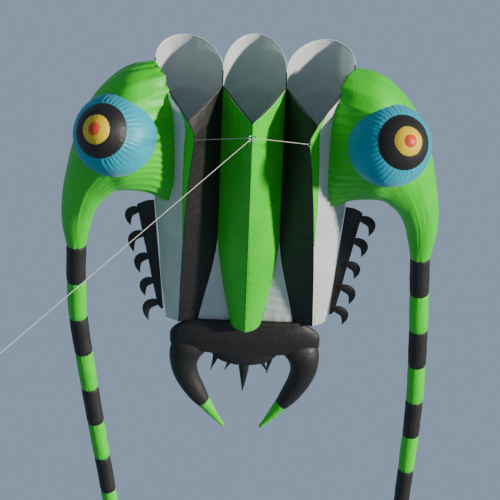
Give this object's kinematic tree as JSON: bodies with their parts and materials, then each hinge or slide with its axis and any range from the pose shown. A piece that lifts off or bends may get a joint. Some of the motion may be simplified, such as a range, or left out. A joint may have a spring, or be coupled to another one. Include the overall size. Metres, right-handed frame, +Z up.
{
  "type": "inflatable creature kite",
  "caption": "Soft ram-air creature kite: keeled cells with open mouths, horned cheeks with domed eyes, clawed tail, banded tube tails, bridle and flying line.",
  "frame": {"origin": "centre of the tow ring, where the bridle lines and the flying line meet", "axes": "+Z up out of the kite's back, +Y from the mouths to the tail, +X to the kite's right as seen from in front and below"},
  "size_m": [3.5754, 4.9724, 4.448],
  "materials": {
    "green_nylon": "ripstop nylon, bright green",
    "black_nylon": "ripstop nylon, black",
    "white_nylon": "ripstop nylon, white, translucent",
    "blue_nylon": "ripstop nylon, turquoise blue",
    "yellow_nylon": "ripstop nylon, yellow",
    "red_nylon": "ripstop nylon, orange red",
    "webbing": "woven nylon webbing",
    "line": "braided polyester line",
    "steel": "polished stainless steel"
  },
  "bodies": {
    "root": {"centre_bridle_line": "line", "centre_keel_left_panel": "green_nylon", "centre_keel_right_panel": "green_nylon", "centre_mouth_tape": "black_nylon", "centre_top_skin": "white_nylon", "keel_loops": "webbing", "left_bridle_line": "line", "left_cheek": "green_nylon", "left_eye_ball": "black_nylon", "left_eye_dome": "blue_nylon", "left_eye_iris": "yellow_nylon", "left_eye_pupil": "red_nylon", "left_keel_inner_panel": "black_nylon", "left_keel_strip": "green_nylon", "left_mouth_tape": "black_nylon", "left_rib": "green_nylon", "left_side_panel": "white_nylon", "left_top_skin": "white_nylon", "left_web_panel": "white_nylon", "right_bridle_line": "line", "right_cheek": "green_nylon", "right_eye_ball": "black_nylon", "right_eye_dome": "blue_nylon", "right_eye_iris": "yellow_nylon", "right_eye_pupil": "red_nylon", "right_keel_inner_panel": "black_nylon", "right_keel_strip": "green_nylon", "right_mouth_tape": "black_nylon", "right_rib": "green_nylon", "right_side_panel": "white_nylon", "right_top_skin": "white_nylon", "right_web_panel": "white_nylon", "tow_ring": "steel"},
    "centre_spike": {"centre_spike": "black_nylon"},
    "flying_line": {"flying_line": "line", "line_end_eye": "line", "line_thimble": "steel", "line_tow_eye": "line"},
    "left_claw": {"left_claw": "black_nylon", "left_claw_tip": "green_nylon"},
    "left_legs": {"left_leg_strip": "black_nylon", "left_legs": "black_nylon"},
    "left_tail_end": {"left_tail_end_black_band": "black_nylon", "left_tail_end_green_band": "green_nylon"},
    "left_tail_front": {"left_tail_front_black_bands": "black_nylon", "left_tail_front_green_band": "green_nylon"},
    "left_tail_middle": {"left_tail_middle_black_band": "black_nylon", "left_tail_middle_green_bands": "green_nylon"},
    "right_claw": {"right_claw": "black_nylon", "right_claw_tip": "green_nylon"},
    "right_legs": {"right_leg_strip": "black_nylon", "right_legs": "black_nylon"},
    "right_tail_end": {"right_tail_end_black_band": "black_nylon", "right_tail_end_green_band": "green_nylon"},
    "right_tail_front": {"right_tail_front_black_bands": "black_nylon", "right_tail_front_green_band": "green_nylon"},
    "right_tail_middle": {"right_tail_middle_black_band": "black_nylon", "right_tail_middle_green_bands": "green_nylon"},
    "tail_lobe": {"small_spikes": "black_nylon", "tail_lobe": "black_nylon"}
  },
  "joints": [
    {"name": "left_tail_sway", "type": "hinge", "parent": "root", "child": "left_tail_front", "pos_m": [-1.4763, 1.71658, 0.84868], "axis": [0, 0, 1], "range_deg": [-9, 9], "stiffness_Nm_per_rad": 6},
    {"name": "left_tail_lift", "type": "hinge", "parent": "left_tail_front", "child": "left_tail_middle", "pos_m": [-1.40273, 2.86475, 0.84868], "axis": [0.989, -0.1478, 0], "range_deg": [-9, 9], "stiffness_Nm_per_rad": 12},
    {"name": "left_tail_tip_sway", "type": "hinge", "parent": "left_tail_middle", "child": "left_tail_end", "pos_m": [-1.22914, 4.00359, 0.84868], "axis": [0, 0, 1], "range_deg": [-9, 9], "stiffness_Nm_per_rad": 6},
    {"name": "left_claw_swing", "type": "hinge", "parent": "tail_lobe", "child": "left_claw", "pos_m": [-0.48146, 2.8657, 1.02158], "axis": [0, 0, 1], "range_deg": [-7, 7], "stiffness_Nm_per_rad": 4},
    {"name": "left_leg_flap", "type": "hinge", "parent": "root", "child": "left_legs", "pos_m": [-0.82061, 1.31492, 0.97636], "axis": [0.0843, 0.9956, 0.0398], "range_deg": [-20, 20], "stiffness_Nm_per_rad": 1},
    {"name": "right_tail_sway", "type": "hinge", "parent": "root", "child": "right_tail_front", "pos_m": [1.4763, 1.71658, 0.84868], "axis": [0, 0, 1], "range_deg": [-9, 9], "stiffness_Nm_per_rad": 6},
    {"name": "right_tail_lift", "type": "hinge", "parent": "right_tail_front", "child": "right_tail_middle", "pos_m": [1.5098, 2.86805, 0.84868], "axis": [1, 0, 0], "range_deg": [-9, 9], "stiffness_Nm_per_rad": 12},
    {"name": "right_tail_tip_sway", "type": "hinge", "parent": "right_tail_middle", "child": "right_tail_end", "pos_m": [1.47631, 4.01929, 0.84868], "axis": [0, 0, 1], "range_deg": [-9, 9], "stiffness_Nm_per_rad": 6},
    {"name": "right_claw_swing", "type": "hinge", "parent": "tail_lobe", "child": "right_claw", "pos_m": [0.48146, 2.8657, 1.02158], "axis": [0, 0, 1], "range_deg": [-7, 7], "stiffness_Nm_per_rad": 4},
    {"name": "right_leg_flap", "type": "hinge", "parent": "root", "child": "right_legs", "pos_m": [0.82061, 1.31492, 0.97636], "axis": [-0.0843, 0.9956, 0.0398], "range_deg": [-20, 20], "stiffness_Nm_per_rad": 1},
    {"name": "tail_lobe_flap", "type": "hinge", "parent": "root", "child": "tail_lobe", "pos_m": [0, 2.585, 1.01094], "axis": [1, 0, 0], "range_deg": [-8, 8], "stiffness_Nm_per_rad": 25},
    {"name": "centre_spike_swing", "type": "hinge", "parent": "tail_lobe", "child": "centre_spike", "pos_m": [0, 3.0466, 1.02158], "axis": [1, 0, 0], "range_deg": [-12, 12], "stiffness_Nm_per_rad": 0.6},
    {"name": "line_swing", "type": "hinge", "parent": "root", "child": "flying_line", "pos_m": [-0.01612, 0.00111, -0.02527], "axis": [0.8431, 0, -0.5378], "range_deg": [-12, 12], "stiffness_Nm_per_rad": 6}
  ]
}
